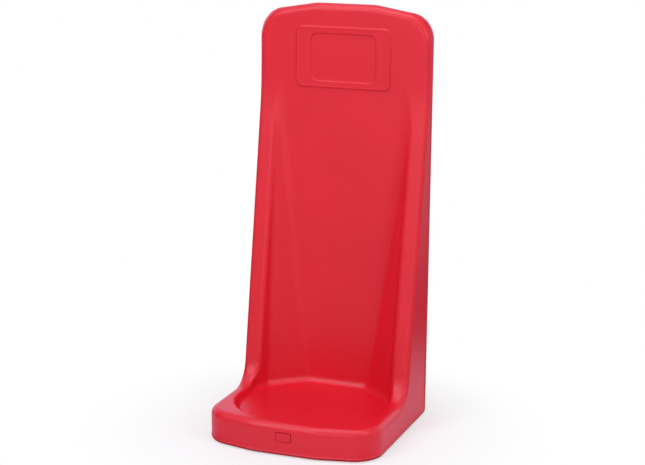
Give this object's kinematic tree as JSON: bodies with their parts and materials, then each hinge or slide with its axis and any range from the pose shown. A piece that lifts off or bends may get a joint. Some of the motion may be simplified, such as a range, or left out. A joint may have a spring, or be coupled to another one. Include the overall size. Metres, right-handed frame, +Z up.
{
  "type": "fire extinguisher floor stand",
  "caption": "Hollow moulded floor stand with a tall arched back, leaning side wings, a faceted trough and a lipped tray that holds a fire extinguisher upright.",
  "frame": {"origin": "centre of the overall box at floor level", "axes": "+Z up, the open front faces -Y, +X to the right seen from the front"},
  "size_m": [0.3088, 0.291, 0.71],
  "materials": {
    "shell": "satin moulded polyethylene with a fine stipple",
    "badge": "satin, blank",
    "insert": "machined",
    "seal": "matte",
    "closure": "fine texture",
    "foot": "matte"
  },
  "bodies": {
    "stand": {"stand_body": "shell", "badge_plate": "badge", "filler_insert": "insert", "foot_front_left": "foot", "foot_front_right": "foot", "foot_rear_left": "foot", "foot_rear_right": "foot"},
    "seal": {"filler_seal": "seal"},
    "cap": {"filler_cap": "closure"},
    "vent": {"vent_plug": "closure"}
  },
  "joints": [
    {"name": "cap_lift", "type": "slide", "parent": "stand", "child": "seal", "axis": [0, 1, 0], "range_m": [0, 0.0128]},
    {"name": "cap_turn", "type": "hinge", "parent": "seal", "child": "cap", "pos_m": [0.1, 0.1455, 0.2], "axis": [0, 1, 0], "range_deg": [0, 1980]},
    {"name": "vent_pull", "type": "slide", "parent": "stand", "child": "vent", "axis": [0, 1, 0], "range_m": [0, 0.012]}
  ],
  "couplings": [
    {"joint": "cap_lift", "follows": "cap_turn", "m_per_rad": 0.00036749}
  ]
}
